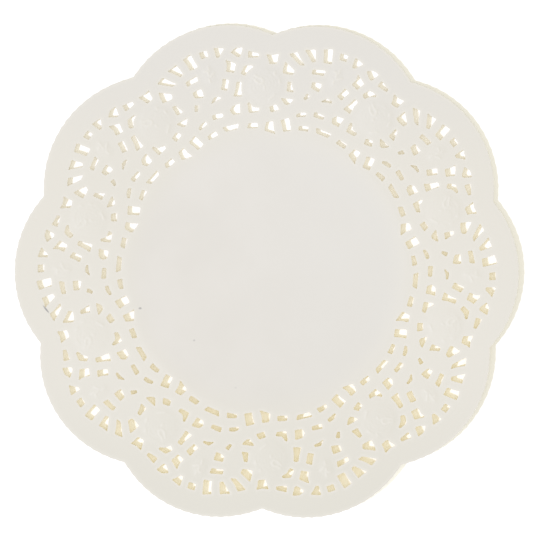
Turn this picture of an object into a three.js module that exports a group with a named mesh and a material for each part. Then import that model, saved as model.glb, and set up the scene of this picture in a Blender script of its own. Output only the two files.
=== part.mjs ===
import * as THREE from 'three';

// A round paper doily: one sheet of punched lace paper with a scalloped edge, lying flat.
// Millimetres, +Z up. The origin is the middle of the underside, and +X runs through the tip of a scallop.

// Driving sizes of the sheet
const TIP_RADIUS = 82.5;
const NOTCH_RADIUS = 77.3;
const SCALLOPS = 10;
const SHEET_THICKNESS = 1;

// How far each side of a gap lies inside its charted line
const GAP_TRIM = 0.11;

// Straight runs that stand for the arc of one scallop
const ARC_STEPS = 12;

// One repeat of the lace goes with each scallop
const REPEAT_ANGLE = 2 * Math.PI / SCALLOPS;
const HALF_REPEAT = REPEAT_ANGLE / 2;

// The gaps of one repeat, charted by hand with one row for each gap, in millimetres and degrees.
// radius, angle: the gap's middle, its angle counter-clockwise from the line through the scallop's tip
// length: from the foot to the head of the gap
// head, foot: the width across each end
// turn: the way from foot to head, counter-clockwise from straight outward
// headSlant, footSlant: how far the left corner runs ahead of the right, for each millimetre of width
// left, right, tip, heel: how far the middle of that side is pushed out
const COLUMNS = [
  'radius', 'angle', 'length', 'head', 'foot', 'turn',
  'headSlant', 'footSlant', 'left', 'right', 'tip', 'heel',
];

const ROUND_THE_MEDALLION = [
  [69.5, -18.15, 3.45, 4.4, 2.6, 6, 0.06, 0, -0.08, -0.15, -0.42, 0.05],
  [66.15, 13.3, 3.95, 3.9, 1.7, 66, -0.29, -0.03, 0.12, -0.05, 0.1, 0.05],
  [60.75, 12.45, 3.5, 1.45, 2.55, 11, 0.2, 0.22, -0.05, -0.1, 0, 0],
  [55.85, 12.85, 2.15, 4.45, 1.2, -0.5, 0, 0.04, 0.05, 0.15, 0.05, 0.1],
  [53.4, 17.1, 2.2, 2.6, 3.1, 25, 0.1, 0.1, 0, 0, 0, 0],
  [54.3, -11.85, 4.5, 0.95, 1.5, 52, 0.3, -0.3, 2.15, -0.87, 0, 0],
  [60.45, -7.6, 4.95, 1.85, 3.0, -14.5, -0.07, -0.09, -0.2, -0.2, 0.1, 0],
  [66.1, -11.1, 4.4, 1.75, 0.95, 123, -0.37, 0.17, -0.47, 1.35, 0.1, 0],
];

const FAN_UNDER_THE_EDGE = [
  [70.0, 11.2, 5.25, 2.75, 1.5, 44.5, 0.44, 0.8, 0.05, -0.18, 0, 0],
  [71.85, 7.65, 4.5, 3.55, 1.45, 28.5, 0.29, 0.1, -0.05, 0, -0.2, 0.05],
  [72.8, 3.6, 4.85, 3.25, 2.95, 12, -0.07, 0.13, -0.2, 0, 0, 0],
  [73.9, -0.35, 2.4, 2.85, 2.65, 6, 0.08, 0.05, 0, -0.08, 0, -0.1],
  [73.35, -4.0, 3.3, 3.75, 1.15, -19.5, -0.04, -0.2, 0, -0.1, 0, 0],
  [72.0, -8.9, 2.65, 4.5, 1.1, 12, -0.01, 0.22, 0, 0, 0.7, 0.05],
  [71.0, -13.0, 3.8, 2.4, 1.3, 80.5, -0.04, -0.07, 0.08, -0.05, 0, 0],
];

const ROUND_THE_PETAL = [
  [66.95, 4.95, 4.35, 1.8, 2.05, 97, 0.05, 0.32, -0.2, 0, 0, 0],
  [62.4, 4.65, 3.25, 2.1, 3.05, 82.5, -0.16, -0.06, 0.12, 0, 0, 0.12],
  [58.3, 6.75, 2.3, 1.7, 1.15, -30, -0.03, -0.13, 0, 0, 0, 0],
  [58.5, 0.05, 3.85, 0.45, 1.0, 106, 0, 0.07, -0.2, 0.95, 0, 0],
  [62.75, -3.85, 3.8, 2.4, 2.3, -22.5, 0.08, 0, -0.2, 0, 0, 0],
  [68.0, -6.4, 3.6, 3.75, 2.85, -14.5, 0.33, 0.07, -0.45, -0.1, 0, 0],
];

const MIDDLE_RING = [
  [52.2, 7.15, 3.5, 1.15, 1.4, 109, 0.1, 0.1, -0.05, 0.38, 0, 0],
  [53.4, 1.0, 1.75, 3.7, 3.5, -4, 0.05, -0.04, 0.15, 0.1, 0, 0],
  [54.05, -5.8, 3.3, 2.75, 2.7, -7.5, -0.24, -0.06, 0.85, -0.1, 0, 0],
];

const INNER_RING = [
  [47.35, -17.6, 3.7, 2.5, 3.8, 2.5, -0.07, 0.37, 0.08, -0.33, 0, 0],
  [48.25, 12.2, 4.25, 3.15, 2.85, 19, -0.07, 0.05, -0.15, 0, 0, 0],
  [48.1, 5.25, 3.5, 1.55, 2.0, 98, 0.04, -0.05, -0.15, 0.08, 0, 0],
  [48.6, -2.5, 1.9, 5.75, 4.1, -1, 0.02, 0, 0.05, 0.05, -0.05, -0.1],
  [48.1, -10.9, 3.5, 1.85, 1.95, 86.5, 0.29, -0.06, 0.08, -0.05, 0, 0],
];

// A side whose middle is pushed less than this is left straight
const LEAST_PUSH = 0.1;

const GAPS = [
  ...ROUND_THE_MEDALLION,
  ...FAN_UNDER_THE_EDGE,
  ...ROUND_THE_PETAL,
  ...MIDDLE_RING,
  ...INNER_RING,
].map((row) => Object.fromEntries(COLUMNS.map((name, column) => [name, row[column]])));

const MIDDLE = new THREE.Vector2(0, 0);

// The scallop's arc runs through two notches and a tip, which puts its centre on the line to the tip
function scallopEdge() {
  const rise = TIP_RADIUS - NOTCH_RADIUS * Math.cos(HALF_REPEAT);
  const arcCentre = (TIP_RADIUS ** 2 - NOTCH_RADIUS ** 2) / (2 * rise);
  const arcRadius = TIP_RADIUS - arcCentre;
  const halfArc = Math.asin(NOTCH_RADIUS * Math.sin(HALF_REPEAT) / arcRadius);
  const points = [];
  for (let scallop = 0; scallop < SCALLOPS; scallop += 1) {
    for (let step = 0; step < ARC_STEPS; step += 1) {
      const along = halfArc * (2 * step / ARC_STEPS - 1);
      const point = new THREE.Vector2(arcCentre + arcRadius * Math.cos(along), arcRadius * Math.sin(along));
      points.push(point.rotateAround(MIDDLE, scallop * REPEAT_ANGLE));
    }
  }
  return points;
}

// The middle of a gap's side, pushed out, as a list of one point, or of none on an all but straight side
function pushedMiddle(start, end, push) {
  if (Math.abs(push) < LEAST_PUSH) {
    return [];
  }
  const outward = new THREE.Vector2(end.y - start.y, start.x - end.x).normalize();
  return [start.clone().add(end).multiplyScalar(0.5).addScaledVector(outward, push)];
}

// The corners of one gap in its own frame, counter-clockwise: x from foot to head, y to the left
function gapCorners(gap) {
  const bothCorners = (along, width, slant) => {
    const across = width / 2 - GAP_TRIM;
    return [
      new THREE.Vector2(along + slant * across, across),
      new THREE.Vector2(along - slant * across, -across),
    ];
  };
  const halfLength = gap.length / 2 - GAP_TRIM;
  const [footLeft, footRight] = bothCorners(-halfLength, gap.foot, gap.footSlant);
  const [headLeft, headRight] = bothCorners(halfLength, gap.head, gap.headSlant);
  return [
    footRight,
    ...pushedMiddle(footRight, headRight, gap.right),
    headRight,
    ...pushedMiddle(headRight, headLeft, gap.tip),
    headLeft,
    ...pushedMiddle(headLeft, footLeft, gap.left),
    footLeft,
    ...pushedMiddle(footLeft, footRight, gap.heel),
  ];
}

function gapPath(gap, repeat) {
  const turn = THREE.MathUtils.degToRad(gap.turn);
  const angle = THREE.MathUtils.degToRad(gap.angle) + repeat * REPEAT_ANGLE;
  const place = new THREE.Vector2(gap.radius, 0);
  const corners = gapCorners(gap).map(
    (corner) => corner.rotateAround(MIDDLE, turn).add(place).rotateAround(MIDDLE, angle),
  );
  return new THREE.Path(corners);
}

function laceSheet() {
  const shape = new THREE.Shape(scallopEdge());
  for (let repeat = 0; repeat < SCALLOPS; repeat += 1) {
    for (const gap of GAPS) {
      shape.holes.push(gapPath(gap, repeat));
    }
  }
  return new THREE.ExtrudeGeometry(shape, { depth: SHEET_THICKNESS, bevelEnabled: false });
}

const whitePaper = new THREE.MeshStandardMaterial({ color: 0xf1eee6, roughness: 0.9, metalness: 0 });

const sheet = new THREE.Mesh(laceSheet(), whitePaper);
sheet.name = 'doily';

const doily = new THREE.Group();
doily.add(sheet);

export default doily;
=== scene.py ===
import math

import bpy
import numpy as np
from mathutils import Matrix, Vector
from mathutils.geometry import delaunay_2d_cdt
from mathutils.kdtree import KDTree


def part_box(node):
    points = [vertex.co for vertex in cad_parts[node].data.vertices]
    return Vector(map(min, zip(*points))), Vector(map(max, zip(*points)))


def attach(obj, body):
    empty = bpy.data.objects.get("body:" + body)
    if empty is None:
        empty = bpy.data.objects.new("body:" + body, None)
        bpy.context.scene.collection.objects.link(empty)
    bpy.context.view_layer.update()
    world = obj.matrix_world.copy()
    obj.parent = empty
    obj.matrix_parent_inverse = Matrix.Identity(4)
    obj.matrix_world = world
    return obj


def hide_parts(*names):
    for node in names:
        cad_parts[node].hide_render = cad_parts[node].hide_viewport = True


# The looks of a round paper doily: one thin sheet of punched and lightly pressed paper.
# The sheet is worked out flat in millimetres, as it is charted, and made in metres.

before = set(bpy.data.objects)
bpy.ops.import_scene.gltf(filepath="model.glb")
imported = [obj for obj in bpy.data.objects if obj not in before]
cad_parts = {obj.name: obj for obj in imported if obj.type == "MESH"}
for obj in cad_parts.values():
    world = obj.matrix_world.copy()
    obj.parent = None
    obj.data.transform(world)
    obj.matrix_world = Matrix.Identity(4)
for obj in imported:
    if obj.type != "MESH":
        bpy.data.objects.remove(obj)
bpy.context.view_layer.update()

MM = 0.001
TOWARD_X, TOWARD_Y = 0, math.pi / 2
SHEET_LOW, SHEET_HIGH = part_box("doily")

# Flat shape of the sheet, with +X through the tip of a scallop
TIP_RADIUS = (SHEET_HIGH.x - SHEET_LOW.x) / 2 / MM
NOTCH_RADIUS = 77.3
SCALLOPS = 10
REPEAT_ANGLE = 2 * math.pi / SCALLOPS
HALF_REPEAT = REPEAT_ANGLE / 2
ARC_POINTS = 60
NOTCH_SOFTNESS = 0.5
EDGE_WAVES = 17
EDGE_WAVE_HEIGHT = 0.08
GAP_TRIM = 0.11
GAP_SOFTNESS = 0.2

# The gaps of one repeat, charted with one row for each gap, in millimetres and degrees.
# radius, angle: the gap's middle, counter-clockwise from the line through the scallop's tip
# length: from the foot to the head of the gap
# head, foot: the width across each end
# turn: the way from foot to head, counter-clockwise from straight outward
# head_slant, foot_slant: how far the left corner of that end is ahead of the right corner,
#   for each millimetre of its width
# left, right, tip, heel: how far the middle of that side is pushed out
COLUMNS = (
    "radius", "angle", "length", "head", "foot", "turn",
    "head_slant", "foot_slant", "left", "right", "tip", "heel",
)

ROUND_THE_MEDALLION = [
    (69.5, -18.15, 3.45, 4.4, 2.6, 6, 0.06, 0, -0.08, -0.15, -0.42, 0.05),
    (66.15, 13.3, 3.95, 3.9, 1.7, 66, -0.29, -0.03, 0.12, -0.05, 0.1, 0.05),
    (60.75, 12.45, 3.5, 1.45, 2.55, 11, 0.2, 0.22, -0.05, -0.1, 0, 0),
    (55.85, 12.85, 2.15, 4.45, 1.2, -0.5, 0, 0.04, 0.05, 0.15, 0.05, 0.1),
    (53.4, 17.1, 2.2, 2.6, 3.1, 25, 0.1, 0.1, 0, 0, 0, 0),
    (54.3, -11.85, 4.5, 0.95, 1.5, 52, 0.3, -0.3, 2.15, -0.87, 0, 0),
    (60.45, -7.6, 4.95, 1.85, 3.0, -14.5, -0.07, -0.09, -0.2, -0.2, 0.1, 0),
    (66.1, -11.1, 4.4, 1.75, 0.95, 123, -0.37, 0.17, -0.47, 1.35, 0.1, 0),
]

FAN_UNDER_THE_EDGE = [
    (70.0, 11.2, 5.25, 2.75, 1.5, 44.5, 0.44, 0.8, 0.05, -0.18, 0, 0),
    (71.85, 7.65, 4.5, 3.55, 1.45, 28.5, 0.29, 0.1, -0.05, 0, -0.2, 0.05),
    (72.8, 3.6, 4.85, 3.25, 2.95, 12, -0.07, 0.13, -0.2, 0, 0, 0),
    (73.9, -0.35, 2.4, 2.85, 2.65, 6, 0.08, 0.05, 0, -0.08, 0, -0.1),
    (73.35, -4.0, 3.3, 3.75, 1.15, -19.5, -0.04, -0.2, 0, -0.1, 0, 0),
    (72.0, -8.9, 2.65, 4.5, 1.1, 12, -0.01, 0.22, 0, 0, 0.7, 0.05),
    (71.0, -13.0, 3.8, 2.4, 1.3, 80.5, -0.04, -0.07, 0.08, -0.05, 0, 0),
]

ROUND_THE_PETAL = [
    (66.95, 4.95, 4.35, 1.8, 2.05, 97, 0.05, 0.32, -0.2, 0, 0, 0),
    (62.4, 4.65, 3.25, 2.1, 3.05, 82.5, -0.16, -0.06, 0.12, 0, 0, 0.12),
    (58.3, 6.75, 2.3, 1.7, 1.15, -30, -0.03, -0.13, 0, 0, 0, 0),
    (58.5, 0.05, 3.85, 0.45, 1.0, 106, 0, 0.07, -0.2, 0.95, 0, 0),
    (62.75, -3.85, 3.8, 2.4, 2.3, -22.5, 0.08, 0, -0.2, 0, 0, 0),
    (68.0, -6.4, 3.6, 3.75, 2.85, -14.5, 0.33, 0.07, -0.45, -0.1, 0, 0),
]

MIDDLE_RING = [
    (52.2, 7.15, 3.5, 1.15, 1.4, 109, 0.1, 0.1, -0.05, 0.38, 0, 0),
    (53.4, 1.0, 1.75, 3.7, 3.5, -4, 0.05, -0.04, 0.15, 0.1, 0, 0),
    (54.05, -5.8, 3.3, 2.75, 2.7, -7.5, -0.24, -0.06, 0.85, -0.1, 0, 0),
]

INNER_RING = [
    (47.35, -17.6, 3.7, 2.5, 3.8, 2.5, -0.07, 0.37, 0.08, -0.33, 0, 0),
    (48.25, 12.2, 4.25, 3.15, 2.85, 19, -0.07, 0.05, -0.15, 0, 0, 0),
    (48.1, 5.25, 3.5, 1.55, 2.0, 98, 0.04, -0.05, -0.15, 0.08, 0, 0),
    (48.6, -2.5, 1.9, 5.75, 4.1, -1, 0.02, 0, 0.05, 0.05, -0.05, -0.1),
    (48.1, -10.9, 3.5, 1.85, 1.95, 86.5, 0.29, -0.06, 0.08, -0.05, 0, 0),
]

GAP_ROWS = ROUND_THE_MEDALLION + FAN_UNDER_THE_EDGE + ROUND_THE_PETAL + MIDDLE_RING + INNER_RING
GAPS = [dict(zip(COLUMNS, row)) for row in GAP_ROWS]

# Height of the sheet: it lies flat in its middle and rises slowly toward the lace, like a very
# shallow dish, so the lace stands a little off the surface. The lift is greater on one side of
# the sheet and smaller on the other, by LIFT_LEAN as a share of it.
THICKNESS = 0.2
REST_RADIUS = 10.0
DISH_ROUNDING = 8.0
LACE_START = 45.5
LACE_LIFT = 0.7
LIFT_LEAN = 0.35
LEAN_TOWARD = math.radians(276)

# The lip that turns down at each cut
LIP_DROP = 0.015
LIP_REACH = 0.35

# Faint long waves of the lifted lace.
# along_x, along_y: how far the wave runs for each radian, in millimetres
# start: in radians
WAVE_HEIGHT = 0.06
LACE_WAVES = [
    (16, 28, 3.8),
    (16, -17.5, 1.6),
    (23, 17, 4.2),
]

# Low relief pressed into each medallion: a small rose of open rows of petals on a slight dome.
# INWARD_RIDGE_SHARE: how strong a row is toward the middle of the sheet, as a share of outward
# PETAL_JOIN: a row fades out where two petals meet, below this share of a petal's height
MEDALLION_RADIUS = 61.0
MEDALLION_ANGLE = math.radians(-16.0)
DOME_RADIUS = 6.4
DOME_HEIGHT = 0.08
RIDGE_HEIGHT = 0.02
RIDGE_WIDTH = 0.24
INWARD_RIDGE_SHARE = 0.35
PETAL_JOIN = 0.5

# Rows of petals of the rose, from the bud outward.
# radius: of the row, in millimetres
# petals: their number
# turn: of the first petal from straight outward, in degrees
# dip: how far the line falls in where two petals meet, as a share of the radius
ROSE_ROWS = [
    (0.85, 2, 20, 0.25),
    (1.7, 3, 70, 0.3),
    (2.7, 5, 12, 0.25),
    (3.8, 6, 40, 0.2),
    (4.9, 7, 5, 0.08),
]

# The plain petal between two medallions
PETAL_RADIUS = 67.0
PETAL_HALF_LENGTH = 3.6
PETAL_HALF_WIDTH = 2.4
PETAL_DOME = 0.05

# Lines pressed into each medallion and petal. Each is a row of points, given outward and to
# the left of the middle, in millimetres.
LINE_HEIGHT = 0.045
LINE_WIDTH = 0.26
MEDALLION_LINES = [
    ((3.2, 3.4), (2.65, 2.6), (2.3, 1.3), (1.5, 0.6)),
    ((2.3, 3.8), (1.3, 3.0), (0.6, 2.2), (0.5, 1.1), (1.5, 0.6)),
    ((-0.5, 0.3), (-1.1, 0.4)),
    ((-4.7, -1.2), (-4.0, -2.1), (-3.2, -3.0)),
    ((4.4, -3.1), (3.3, -3.1)),
    ((1.5, -4.6), (0.6, -4.7)),
]
PETAL_LINES = [
    ((-0.5, -0.5), (0.0, -1.3), (0.35, -2.1)),
    ((2.6, -0.6), (1.6, -0.6)),
    ((1.6, 1.0), (1.7, 0.3), (1.0, -0.2), (0.2, -0.1)),
    ((-1.0, 0.1), (-2.2, 0.1)),
]

# The mesh carries the share of a painted highlight, which makes the paper whiter: fully at a cut
# and on a line, and less beside them
HIGHLIGHT_ATTRIBUTE = "painted_highlight"
HIGHLIGHT_REACH = 0.6

# Spacing of the mesh's points. A row of points follows each cut edge at ROW_OFFSET, and the
# rings of points keep clear of it.
FINE_STEP = 0.05
GAP_STEP = 0.4
EDGE_STEP = 0.55
LEAST_LOOP_POINTS = 8
ROW_OFFSET = 0.3
ROW_CLEARANCE = 0.22
RELIEF_STEP = 0.32
MEDALLION_FINE_RADIUS = 5.2
PETAL_FINE_RADIUS = 2.8
RING_RADII = (0, 30, 43, 45.5, 76, 78, TIP_RADIUS)
RING_STEPS = (3.4, 2.6, 1.3, 0.75, 0.75, 1.0, 1.0)
RING_PITCH = 0.87
MERGE_DISTANCE = 1e-6
SHARP_ANGLE = math.radians(60)


def turned(points, angle):
    cosine, sine = math.cos(angle), math.sin(angle)
    return points @ np.array([[cosine, sine], [-sine, cosine]])


def resampled(loop, step):
    """The same closed line with its points evenly spaced."""
    closed = np.vstack([loop, loop[:1]])
    along = np.concatenate([[0], np.cumsum(np.hypot(*np.diff(closed, axis=0).T))])
    count = max(LEAST_LOOP_POINTS, round(along[-1] / step))
    places = np.linspace(0, along[-1], count, endpoint=False)
    return np.column_stack([np.interp(places, along, closed[:, axis]) for axis in (0, 1)])


def softened(loop, softness):
    """The closed line with its corners rounded, by a bell-shaped mean along it."""
    fine = resampled(loop, FINE_STEP)
    steps = np.arange(len(fine))
    away = np.minimum(steps, len(fine) - steps) * FINE_STEP
    weights = np.exp(-((away / softness) ** 2) / 2)
    spectrum = np.fft.fft(weights / weights.sum())
    columns = [np.fft.ifft(np.fft.fft(fine[:, axis]) * spectrum).real for axis in (0, 1)]
    return np.column_stack(columns)


def scalloped_edge():
    """Arcs from notch to notch, with softened notches and a faint wave in the cut."""
    rise = TIP_RADIUS - NOTCH_RADIUS * math.cos(HALF_REPEAT)
    arc_centre = (TIP_RADIUS**2 - NOTCH_RADIUS**2) / (2 * rise)
    arc_radius = TIP_RADIUS - arc_centre
    half_arc = math.asin(NOTCH_RADIUS * math.sin(HALF_REPEAT) / arc_radius)
    along = np.linspace(-half_arc, half_arc, ARC_POINTS, endpoint=False)
    arc = np.column_stack([arc_centre + arc_radius * np.cos(along), arc_radius * np.sin(along)])
    arcs = [turned(arc, repeat * REPEAT_ANGLE) for repeat in range(SCALLOPS)]
    loop = softened(np.vstack(arcs), NOTCH_SOFTNESS)
    angles = np.arctan2(loop[:, 1], loop[:, 0])
    radii = np.hypot(*loop.T)
    wave = EDGE_WAVE_HEIGHT * np.cos(SCALLOPS * EDGE_WAVES * angles)
    return loop * ((radii + wave) / radii)[:, None]


def gap_corners(gap):
    """One gap's corners and the middles of its sides, counter-clockwise, x toward its head."""
    half_length = gap["length"] / 2 - GAP_TRIM

    def end_corners(at, width, slant):
        across = width / 2 - GAP_TRIM
        ahead = slant * across
        return np.array([at + ahead, across]), np.array([at - ahead, -across])

    foot_left, foot_right = end_corners(-half_length, gap["foot"], gap["foot_slant"])
    head_left, head_right = end_corners(half_length, gap["head"], gap["head_slant"])

    def pushed(start, end, push):
        across = end - start
        return (start + end) / 2 + np.array([across[1], -across[0]]) / np.hypot(*across) * push

    return np.array([
        foot_right,
        pushed(foot_right, head_right, gap["right"]),
        head_right,
        pushed(head_right, head_left, gap["tip"]),
        head_left,
        pushed(head_left, foot_left, gap["left"]),
        foot_left,
        pushed(foot_left, foot_right, gap["heel"]),
    ])


def gap_loops():
    loops = []
    for gap in GAPS:
        outline = softened(gap_corners(gap), GAP_SOFTNESS)
        placed = turned(outline, math.radians(gap["turn"])) + (gap["radius"], 0)
        for repeat in range(SCALLOPS):
            loops.append(turned(placed, math.radians(gap["angle"]) + repeat * REPEAT_ANGLE))
    return loops


def toward_paper(loop, inward):
    """Unit normals of a counter-clockwise loop, into it or out of it."""
    tangent = np.roll(loop, -1, axis=0) - np.roll(loop, 1, axis=0)
    normal = np.column_stack([-tangent[:, 1], tangent[:, 0]])
    normal /= np.hypot(*normal.T)[:, None]
    return normal if inward else -normal


class CutEdges:
    """Distance from a point to the nearest cut edge, above 0 on the paper and below 0 off it."""

    def __init__(self, outer, gaps):
        self.points = np.vstack([outer] + gaps)
        normals = [toward_paper(outer, True)] + [toward_paper(gap, False) for gap in gaps]
        self.normals = np.vstack(normals)
        self.tree = KDTree(len(self.points))
        for index, (x, y) in enumerate(self.points):
            self.tree.insert((x, y, 0), index)
        self.tree.balance()

    def distance(self, places):
        found = np.array([self.tree.find((x, y, 0))[1:] for x, y in places])
        nearest = found[:, 0].astype(int)
        side = ((places - self.points[nearest]) * self.normals[nearest]).sum(axis=1)
        return found[:, 1] * np.sign(side)


def rings_about(centre, radii, steps, outer):
    """Staggered rings of points, with the spacing that the two short rows give at each radius."""
    points = []
    radius = 0.0
    ring = 0
    while radius < outer:
        step = np.interp(radius, radii, steps)
        count = max(1, round(2 * math.pi * radius / step))
        angles = (np.arange(count) + ring % 2 / 2) * 2 * math.pi / count
        points.append(centre + radius * np.column_stack([np.cos(angles), np.sin(angles)]))
        radius += step * RING_PITCH
        ring += 1
    return np.vstack(points)


def place_at(radius, angle):
    return radius * np.array([math.cos(angle), math.sin(angle)])


def in_repeat(places, angle, radius):
    """How far each point lies outward and left of the nearest repeat of one place."""
    angles = np.arctan2(places[:, 1], places[:, 0]) - angle
    angles -= np.round(angles / REPEAT_ANGLE) * REPEAT_ANGLE
    radii = np.hypot(*places.T)
    return np.column_stack([radii * np.cos(angles) - radius, radii * np.sin(angles)])


def smooth_step(share):
    share = np.clip(share, 0, 1)
    return share * share * (3 - 2 * share)


def medallion_relief(places):
    local = in_repeat(places, MEDALLION_ANGLE, MEDALLION_RADIUS)
    radii = np.hypot(*local.T)
    angles = np.arctan2(local[:, 1], local[:, 0])
    dome = DOME_HEIGHT * np.clip(1 - (radii / DOME_RADIUS) ** 2, 0, None)
    ridges = np.zeros(len(places))
    for radius, petals, turn, dip in ROSE_ROWS:
        petal = np.abs(np.cos(petals * (angles - math.radians(turn)) / 2))
        line = radius * (1 - dip * (1 - petal))
        ridge = np.exp(-(((radii - line) / RIDGE_WIDTH) ** 2)) * smooth_step(petal / PETAL_JOIN)
        ridges = np.maximum(ridges, ridge)
    outward_share = (1 + np.cos(angles)) / 2
    strength = INWARD_RIDGE_SHARE + (1 - INWARD_RIDGE_SHARE) * outward_share
    return dome + RIDGE_HEIGHT * strength * ridges


def petal_relief(places):
    outward, left = in_repeat(places, 0, PETAL_RADIUS).T
    along = outward / PETAL_HALF_LENGTH
    across = left / PETAL_HALF_WIDTH
    return PETAL_DOME * np.clip(1 - along**2 - across**2, 0, None)


def line_share(local, lines):
    """A share of 1 on the lines, which falls to 0 beside them."""
    nearest = np.full(len(local), np.inf)
    for line in lines:
        for start, end in zip(line, line[1:]):
            run = np.subtract(end, start)
            along = np.clip((local - start) @ run / (run @ run), 0, 1)
            nearest = np.minimum(nearest, np.hypot(*(local - start - along[:, None] * run).T))
    return np.exp(-((nearest / LINE_WIDTH) ** 2))


def pressed_lines(places):
    medallion = in_repeat(places, MEDALLION_ANGLE, MEDALLION_RADIUS)
    petal = in_repeat(places, 0, PETAL_RADIUS)
    return line_share(medallion, MEDALLION_LINES) + line_share(petal, PETAL_LINES)


def underside(places, edge_distance, lines):
    """Height of the sheet's underside above the surface that it lies on."""
    x, y = places.T
    beyond_rest = np.clip(np.hypot(x, y) - REST_RADIUS, 0, LACE_START - REST_RADIUS)
    full_rise = math.hypot(LACE_START - REST_RADIUS, DISH_ROUNDING) - DISH_ROUNDING
    lifted = (np.hypot(beyond_rest, DISH_ROUNDING) - DISH_ROUNDING) / full_rise
    lift = LACE_LIFT * (1 + LIFT_LEAN * np.cos(np.arctan2(y, x) - LEAN_TOWARD))
    waves = sum(
        np.sin(x / along_x + y / along_y + start) for along_x, along_y, start in LACE_WAVES
    )
    lip = np.exp(-((np.clip(edge_distance, 0, None) / LIP_REACH) ** 2))
    relief = medallion_relief(places) + petal_relief(places) + LINE_HEIGHT * lines
    return lifted * (lift + WAVE_HEIGHT * waves) + relief - LIP_DROP * lip


def inside(loop, places):
    """Which points lie inside a closed line, by counting the crossings of a line to the right."""
    start, end = loop, np.roll(loop, -1, axis=0)
    x, y = places[:, :1], places[:, 1:]
    spans = (start[:, 1] > y) != (end[:, 1] > y)
    rise = np.where(end[:, 1] == start[:, 1], 1, end[:, 1] - start[:, 1])
    crossing = start[:, 0] + (y - start[:, 1]) * (end[:, 0] - start[:, 0]) / rise
    return (spans & (x < crossing)).sum(axis=1) % 2 == 1


def flat_sheet():
    """Points of the flat sheet, its loops and triangles by point number, and edge distances."""
    fine_outer = scalloped_edge()
    fine_gaps = gap_loops()
    edges = CutEdges(fine_outer, fine_gaps)
    loops = [resampled(fine_outer, EDGE_STEP)] + [resampled(gap, GAP_STEP) for gap in fine_gaps]

    sheet_points = rings_about(place_at(0, 0), RING_RADII, RING_STEPS, TIP_RADIUS)
    even_steps = (RELIEF_STEP, RELIEF_STEP)
    patches = []
    for angle, radius, fine_radius in (
        (MEDALLION_ANGLE, MEDALLION_RADIUS, MEDALLION_FINE_RADIUS),
        (0, PETAL_RADIUS, PETAL_FINE_RADIUS),
    ):
        away = np.hypot(*in_repeat(sheet_points, angle, radius).T)
        sheet_points = sheet_points[away > fine_radius + RELIEF_STEP / 2]
        for repeat in range(SCALLOPS):
            centre = place_at(radius, angle + repeat * REPEAT_ANGLE)
            patches.append(rings_about(centre, (0, fine_radius), even_steps, fine_radius))
    inner_points = np.vstack([sheet_points] + patches)
    inner_points = inner_points[edges.distance(inner_points) > ROW_OFFSET + ROW_CLEARANCE]

    rows = [loops[0] + ROW_OFFSET * toward_paper(loops[0], True)]
    rows += [loop + ROW_OFFSET * toward_paper(loop, False) for loop in loops[1:]]
    row_points = np.vstack(rows)
    row_points = row_points[edges.distance(row_points) > ROW_OFFSET - FINE_STEP]

    loop_rows = []
    constraints = []
    owner = []
    count = 0
    for number, loop in enumerate(loops):
        row = np.arange(count, count + len(loop))
        loop_rows.append(row)
        constraints += zip(row.tolist(), np.roll(row, -1).tolist())
        owner += [number] * len(loop)
        count += len(loop)
    places = np.vstack(loops + [row_points, inner_points])
    owner = np.array(owner + [-1] * (len(places) - len(owner)))

    vectors = [Vector(place) for place in places]
    made_points, _, made_faces = delaunay_2d_cdt(vectors, constraints, [], 0, MERGE_DISTANCE)[:3]
    if len(made_points) != len(places):
        raise ValueError("two points of the sheet fell together")
    triangles = np.array(made_faces)
    corners = owner[triangles]
    on_one_loop = (corners[:, 0] >= 0) & (corners == corners[:, :1]).all(axis=1)
    kept = ~on_one_loop
    middles = places[triangles].mean(axis=1)
    for number, loop in enumerate(loops):
        chosen = np.flatnonzero(on_one_loop & (corners[:, 0] == number))
        within = inside(loop, middles[chosen])
        kept[chosen] = within if number == 0 else ~within
    return places, loop_rows, triangles[kept], edges.distance(places)


def paper_sheet(paper, cut):
    places, loop_rows, triangles, edge_distance = flat_sheet()
    across = places[triangles[:, 1]] - places[triangles[:, 0]]
    along = places[triangles[:, 2]] - places[triangles[:, 0]]
    doubled = across[:, 0] * along[:, 1] - across[:, 1] * along[:, 0]
    triangles[doubled < 0] = triangles[doubled < 0][:, ::-1]
    flat_area = np.abs(doubled).sum() / 2 * MM**2

    lines = pressed_lines(places)
    heights = underside(places, edge_distance, lines)
    low = np.column_stack([places, heights]) * MM
    high = np.column_stack([places, heights + THICKNESS]) * MM
    count = len(places)
    faces = (triangles + count).tolist() + triangles[:, ::-1].tolist()
    for number, row in enumerate(loop_rows):
        here, following = (row, np.roll(row, -1)) if number == 0 else (np.roll(row, -1), row)
        faces += np.column_stack([here, following, following + count]).tolist()
        faces += np.column_stack([here, following + count, here + count]).tolist()

    mesh = bpy.data.meshes.new("doily_sheet")
    mesh.from_pydata(np.vstack([low, high]).tolist(), [], faces)
    mesh.materials.append(paper)
    mesh.materials.append(cut)
    slots = np.ones(len(faces), dtype=np.int32)
    slots[: 2 * len(triangles)] = 0
    mesh.polygons.foreach_set("material_index", slots)
    mesh.polygons.foreach_set("use_smooth", np.ones(len(faces), dtype=bool))
    mesh.set_sharp_from_angle(angle=SHARP_ANGLE)
    # Share of painted highlight: full at the cuts and on the pressed lines, less beside them
    painted_highlight = np.maximum(lines, np.exp(-((edge_distance / HIGHLIGHT_REACH) ** 2)))
    mesh.attributes.new(HIGHLIGHT_ATTRIBUTE, "FLOAT", "POINT").data.foreach_set("value", np.tile(painted_highlight, 2))
    mesh.update()

    sheet = bpy.data.objects.new("doily_sheet", mesh)
    bpy.context.scene.collection.objects.link(sheet)
    return sheet, flat_area
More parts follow.
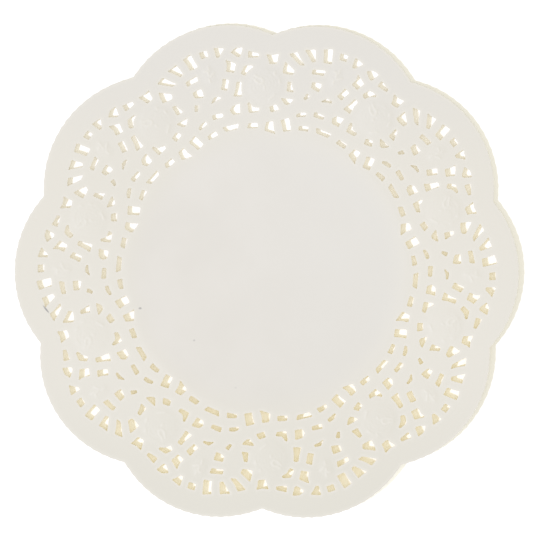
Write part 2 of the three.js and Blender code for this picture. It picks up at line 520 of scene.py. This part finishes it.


# Colours of the paper: the plain middle with painted light toward -X and painted shade toward +X,
# its clouds, the lace, painted shade on the side toward +Y, a darker and yellower tone that grows
# toward -Y, and the cut edge
PLAIN_LIT_WHITE = (0.778, 0.750, 0.708)
PLAIN_SHADED_CREAM = (0.741, 0.720, 0.677)
PLAIN_SHADE_FROM, PLAIN_SHADE_TO = -45 * MM, 45 * MM
CLOUD_CREAM = (0.738, 0.713, 0.666)
CLOUD_FROM, CLOUD_TO = 0.35, 0.65
CLOUD_SHARE = 0.5
LACE_WHITE = (0.770, 0.742, 0.679)
LACE_TINT_FROM, LACE_TINT_TO = 38 * MM, 50 * MM
TOP_SHADE_WHITE = (0.750, 0.726, 0.682)
TOP_SHADE_FROM, TOP_SHADE_TO = 30 * MM, 72 * MM
LOW_SIDE_CREAM = (0.735, 0.712, 0.645)
LOW_CREAM_FROM, LOW_CREAM_TO = -25 * MM, -85 * MM
CUT_CREAM = (0.80, 0.77, 0.70)

# Painted highlight: at the cuts and on the pressed lines the paper is a little whiter
PAINTED_HIGHLIGHT_WHITE = (0.785, 0.757, 0.695)

# How matte each surface is
PAPER_ROUGHNESS = 0.85
CUT_ROUGHNESS = 0.95
FLOOR_ROUGHNESS = 1.0
SPECULAR_LEVEL = 0.3

# Fine structure of the paper: the number of clouds and of the tooth's grains for each metre,
# and how far the tooth stands out
CLOUD_SCALE = 45
CLOUD_DETAIL = 3
TOOTH_SCALE = 1400
TOOTH_DETAIL = 4
TOOTH_HEIGHT = 0.02 * MM
TOOTH_STRENGTH = 0.5

# Small marks on the paper. Each has x and y of its middle, its half length and half width in
# millimetres, the direction of its length in degrees, and how dark it is. A mark grows in from
# MARK_START to MARK_FULL times its own size.
MARK_START, MARK_FULL = 1.4, 0.5
MARK_GREY = (0.37, 0.36, 0.36)
MARKS = [
    (-41.4, -12.2, 0.5, 0.35, 0, 0.7),
    (-23.5, -22.5, 0.38, 0.33, 0, 0.35),
    (-72.0, -12.9, 1.5, 0.28, -50, 0.9),
    (-9.6, -37.8, 0.45, 0.3, 0, 0.15),
]


def matte_material(name, colour, roughness):
    material = bpy.data.materials.new(name)
    material.use_nodes = True
    shader = material.node_tree.nodes["Principled BSDF"]
    shader.inputs["Base Color"].default_value = (*colour, 1)
    shader.inputs["Roughness"].default_value = roughness
    shader.inputs["Specular IOR Level"].default_value = SPECULAR_LEVEL
    return material, shader


def noise(tree, place, scale, detail):
    node = tree.nodes.new("ShaderNodeTexNoise")
    node.inputs["Scale"].default_value = scale
    node.inputs["Detail"].default_value = detail
    tree.links.new(place, node.inputs["Vector"])
    return node.outputs["Fac"]


def length_of(tree, vector):
    node = tree.nodes.new("ShaderNodeVectorMath")
    node.operation = "LENGTH"
    tree.links.new(vector, node.inputs[0])
    return node.outputs["Value"]


def distance_toward(tree, place, azimuth):
    """How far a place lies from the middle in one level direction."""
    node = tree.nodes.new("ShaderNodeVectorMath")
    node.operation = "DOT_PRODUCT"
    node.inputs[1].default_value = (math.cos(azimuth), math.sin(azimuth), 0)
    tree.links.new(place, node.inputs[0])
    return node.outputs["Value"]


def ramp(tree, value, start, end, share):
    """A share that grows smoothly from 0 at the start value to its full size at the end value."""
    node = tree.nodes.new("ShaderNodeMapRange")
    node.interpolation_type = "SMOOTHSTEP"
    node.inputs["From Min"].default_value = start
    node.inputs["From Max"].default_value = end
    node.inputs["To Max"].default_value = share
    tree.links.new(value, node.inputs["Value"])
    return node.outputs["Result"]


def blended(tree, share, first, second):
    """A colour between the first and the second, each of which is a colour or another blend."""
    node = tree.nodes.new("ShaderNodeMix")
    node.data_type = "RGBA"
    for socket, colour in (("A", first), ("B", second)):
        if isinstance(colour, tuple):
            node.inputs[socket].default_value = (*colour, 1)
        else:
            tree.links.new(colour, node.inputs[socket])
    tree.links.new(share, node.inputs["Factor"])
    return node.outputs["Result"]


def mark_share(tree, place, mark):
    """How much of a small mark shows: all in its middle, and nothing a little past its edge."""
    x, y, half_length, half_width, direction, darkness = mark
    node = tree.nodes.new("ShaderNodeMapping")
    node.vector_type = "TEXTURE"
    node.inputs["Location"].default_value = (x * MM, y * MM, 0)
    node.inputs["Rotation"].default_value = (0, 0, math.radians(direction))
    node.inputs["Scale"].default_value = (half_length * MM, half_width * MM, 1)
    tree.links.new(place, node.inputs["Vector"])
    own_sizes = length_of(tree, node.outputs["Vector"])
    return ramp(tree, own_sizes, MARK_START, MARK_FULL, darkness)


def paper_material():
    """White paper with painted light, shade and highlight, creamier in the lace, with clouds,
    marks and a tooth.
    """
    material, shader = matte_material("paper", PLAIN_LIT_WHITE, PAPER_ROUGHNESS)
    tree = material.node_tree
    place = tree.nodes.new("ShaderNodeTexCoord").outputs["Object"]
    x = distance_toward(tree, place, TOWARD_X)
    y = distance_toward(tree, place, TOWARD_Y)

    # Painted light and shade: the plain middle is made lighter toward -X and darker toward +X
    colour = blended(tree, ramp(tree, x, PLAIN_SHADE_FROM, PLAIN_SHADE_TO, 1), PLAIN_LIT_WHITE, PLAIN_SHADED_CREAM)
    cloud_noise = noise(tree, place, CLOUD_SCALE, CLOUD_DETAIL)
    clouds = ramp(tree, cloud_noise, CLOUD_FROM, CLOUD_TO, CLOUD_SHARE)
    colour = blended(tree, clouds, colour, CLOUD_CREAM)
    lace_share = ramp(tree, length_of(tree, place), LACE_TINT_FROM, LACE_TINT_TO, 1)
    colour = blended(tree, lace_share, colour, LACE_WHITE)
    # Painted shade: the paper is made greyer toward +Y
    colour = blended(tree, ramp(tree, y, TOP_SHADE_FROM, TOP_SHADE_TO, 1), colour, TOP_SHADE_WHITE)
    # The paper grows darker and yellower toward -Y
    colour = blended(tree, ramp(tree, y, LOW_CREAM_FROM, LOW_CREAM_TO, 1), colour, LOW_SIDE_CREAM)
    painted_highlight = tree.nodes.new("ShaderNodeAttribute")
    painted_highlight.attribute_name = HIGHLIGHT_ATTRIBUTE
    # Painted highlight at the cuts and on the pressed lines
    colour = blended(tree, painted_highlight.outputs["Fac"], colour, PAINTED_HIGHLIGHT_WHITE)
    for mark in MARKS:
        colour = blended(tree, mark_share(tree, place, mark), colour, MARK_GREY)
    tree.links.new(colour, shader.inputs["Base Color"])

    bump = tree.nodes.new("ShaderNodeBump")
    bump.inputs["Strength"].default_value = TOOTH_STRENGTH
    bump.inputs["Distance"].default_value = TOOTH_HEIGHT
    tree.links.new(noise(tree, place, TOOTH_SCALE, TOOTH_DETAIL), bump.inputs["Height"])
    tree.links.new(bump.outputs["Normal"], shader.inputs["Normal"])
    return material


# The floor is pale, with a faint glow that keeps the shade light. Under the lace it is warm, and
# less so toward LACE_GLOW_TOWARD. Past the sheet's edge it is near neutral, and stronger
# toward -Y.
FLOOR_WHITE = (0.95, 0.94, 0.95)
LACE_GLOW_NEAR = (0.213, 0.171, 0.062)
LACE_GLOW_FAR = (0.184, 0.164, 0.116)
LACE_GLOW_FROM, LACE_GLOW_TO = -60 * MM, 60 * MM
LACE_GLOW_TOWARD = math.radians(107)
RIM_GLOW_NEAR = (0.34, 0.35, 0.34)
RIM_GLOW_FAR = (0.186, 0.187, 0.168)
RIM_GLOW_FROM, RIM_GLOW_TO = -72 * MM, -40 * MM
RIM_FROM, RIM_TO = 75 * MM, 78 * MM
FLOOR_HALF_WIDTH = 4.0
FLOOR_DROP = 0.03 * MM


def studio_floor():
    material, shader = matte_material("floor", FLOOR_WHITE, FLOOR_ROUGHNESS)
    tree = material.node_tree
    place = tree.nodes.new("ShaderNodeTexCoord").outputs["Object"]
    lace_way = distance_toward(tree, place, LACE_GLOW_TOWARD)
    lace_lean = ramp(tree, lace_way, LACE_GLOW_FROM, LACE_GLOW_TO, 1)
    lace_glow = blended(tree, lace_lean, LACE_GLOW_NEAR, LACE_GLOW_FAR)
    rim_way = distance_toward(tree, place, TOWARD_Y)
    rim_lean = ramp(tree, rim_way, RIM_GLOW_FROM, RIM_GLOW_TO, 1)
    rim_glow = blended(tree, rim_lean, RIM_GLOW_NEAR, RIM_GLOW_FAR)
    rim_share = ramp(tree, length_of(tree, place), RIM_FROM, RIM_TO, 1)
    tree.links.new(blended(tree, rim_share, lace_glow, rim_glow), shader.inputs["Emission Color"])
    shader.inputs["Emission Strength"].default_value = 1.0
    mesh = bpy.data.meshes.new("floor")
    half = FLOOR_HALF_WIDTH
    corners = [(-half, -half, 0), (half, -half, 0), (half, half, 0), (-half, half, 0)]
    mesh.from_pydata(corners, [], [(0, 1, 2, 3)])
    mesh.materials.append(material)
    floor = bpy.data.objects.new("floor", mesh)
    floor.location.z = -FLOOR_DROP
    bpy.context.scene.collection.objects.link(floor)


# One soft low light from the left, and a pale sky
SUN_AZIMUTH = math.radians(200)
SUN_ELEVATION = math.radians(25)
SUN_STRENGTH = 3.55
SUN_COLOUR = (0.71, 0.77, 1.0)
SUN_WIDTH = math.radians(5)
SKY_COLOUR = (1.0, 0.96, 0.81)
SKY_STRENGTH = 0.72


def studio_light():
    light = bpy.data.lights.new("key", "SUN")
    light.energy = SUN_STRENGTH
    light.color = SUN_COLOUR
    light.angle = SUN_WIDTH
    key = bpy.data.objects.new("key", light)
    level = math.cos(SUN_ELEVATION)
    toward_sun = Vector((
        level * math.cos(SUN_AZIMUTH),
        level * math.sin(SUN_AZIMUTH),
        math.sin(SUN_ELEVATION),
    ))
    key.rotation_euler = toward_sun.to_track_quat("Z", "Y").to_euler()
    bpy.context.scene.collection.objects.link(key)

    world = bpy.data.worlds.new("studio")
    world.use_nodes = True
    background = world.node_tree.nodes["Background"]
    background.inputs["Color"].default_value = (*SKY_COLOUR, 1)
    background.inputs["Strength"].default_value = SKY_STRENGTH
    bpy.context.scene.world = world
    bpy.context.scene.view_settings.view_transform = "Standard"


# The camera looks almost straight down from far off, leaning toward the upper left of the picture
CAMERA_DISTANCE = 2.6
CAMERA_LEAN = math.radians(8.98)
LEAN_AZIMUTH = math.radians(141.8)
CAMERA_TURN = math.radians(1.01)
AIM_RIGHT = 0.887 * MM
AIM_UP = 0.663 * MM
VIEW_WIDTH = 175.5 * MM
SENSOR_WIDTH = 36.0


def studio_camera():
    lean_axis = Vector((-math.sin(LEAN_AZIMUTH), math.cos(LEAN_AZIMUTH), 0))
    facing = Matrix.Rotation(CAMERA_TURN, 4, "Z") @ Matrix.Rotation(CAMERA_LEAN, 4, lean_axis)
    right, up, back = (facing.col[axis].to_3d() for axis in range(3))
    camera = bpy.data.objects.new("camera", bpy.data.cameras.new("camera"))
    camera.data.sensor_width = SENSOR_WIDTH
    camera.data.lens = SENSOR_WIDTH * CAMERA_DISTANCE / VIEW_WIDTH
    aim = right * AIM_RIGHT + up * AIM_UP
    camera.matrix_world = Matrix.Translation(aim + back * CAMERA_DISTANCE) @ facing
    bpy.context.scene.collection.objects.link(camera)
    bpy.context.scene.camera = camera


studio_camera()
studio_light()
studio_floor()

cut_material, _ = matte_material("cut_edge", CUT_CREAM, CUT_ROUGHNESS)
doily, doily_area = paper_sheet(paper_material(), cut_material)
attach(doily, "root")
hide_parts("doily")
